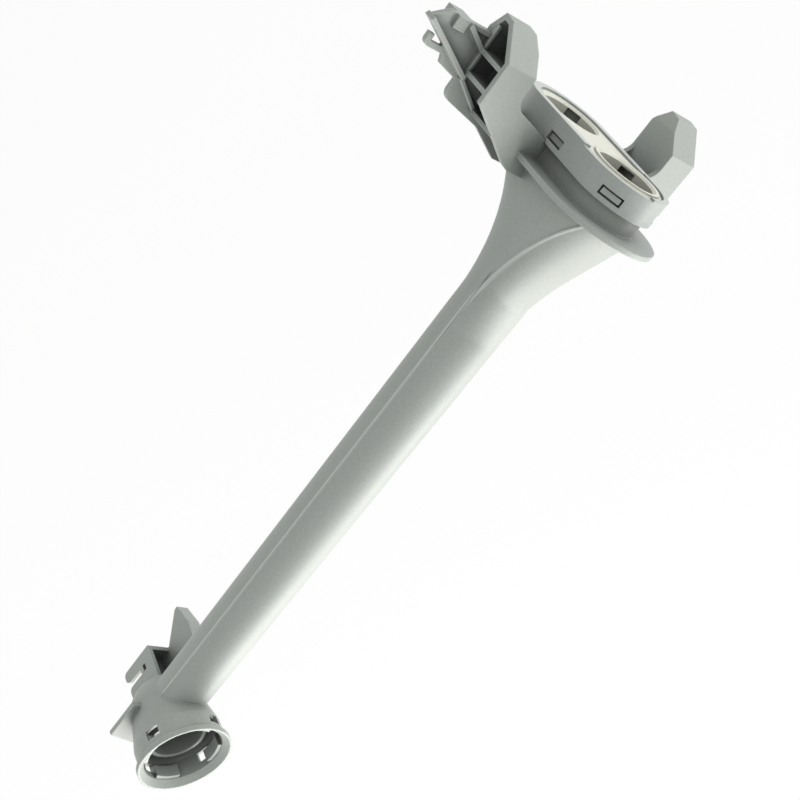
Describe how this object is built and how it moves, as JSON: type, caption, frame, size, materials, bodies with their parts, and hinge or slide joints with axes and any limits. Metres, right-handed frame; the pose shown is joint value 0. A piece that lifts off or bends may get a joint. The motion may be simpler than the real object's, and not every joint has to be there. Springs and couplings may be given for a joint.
{
  "type": "dishwasher wash arm feed tube",
  "caption": "Moulded water tube with a socket for a spray arm at one end and a docking head with ports, guide wings, a basket clip and a rocking shut-off flap at the other.",
  "frame": {"origin": "on the axis of the spray arm socket, in the plane of its seat", "axes": "+Z out of the socket mouth, +X along the tube to the docking head; the side that faces the basket in use is -Z"},
  "size_m": [0.3403, 0.1275, 0.0884],
  "materials": {
    "body": "fine satin",
    "collar": "fine satin",
    "insert": "satin",
    "flap": "satin",
    "pin": "ground"
  },
  "bodies": {
    "tube": {"feed_tube": "body", "docking_collar": "collar", "port_insert": "insert", "flap_pin": "pin"},
    "flap": {"shut_off_flap": "flap"}
  },
  "joints": [
    {"name": "flap_rock", "type": "hinge", "parent": "tube", "child": "flap", "pos_m": [0.2888, 0, -0.0213], "axis": [0, 1, 0], "range_deg": [0, 20]}
  ]
}
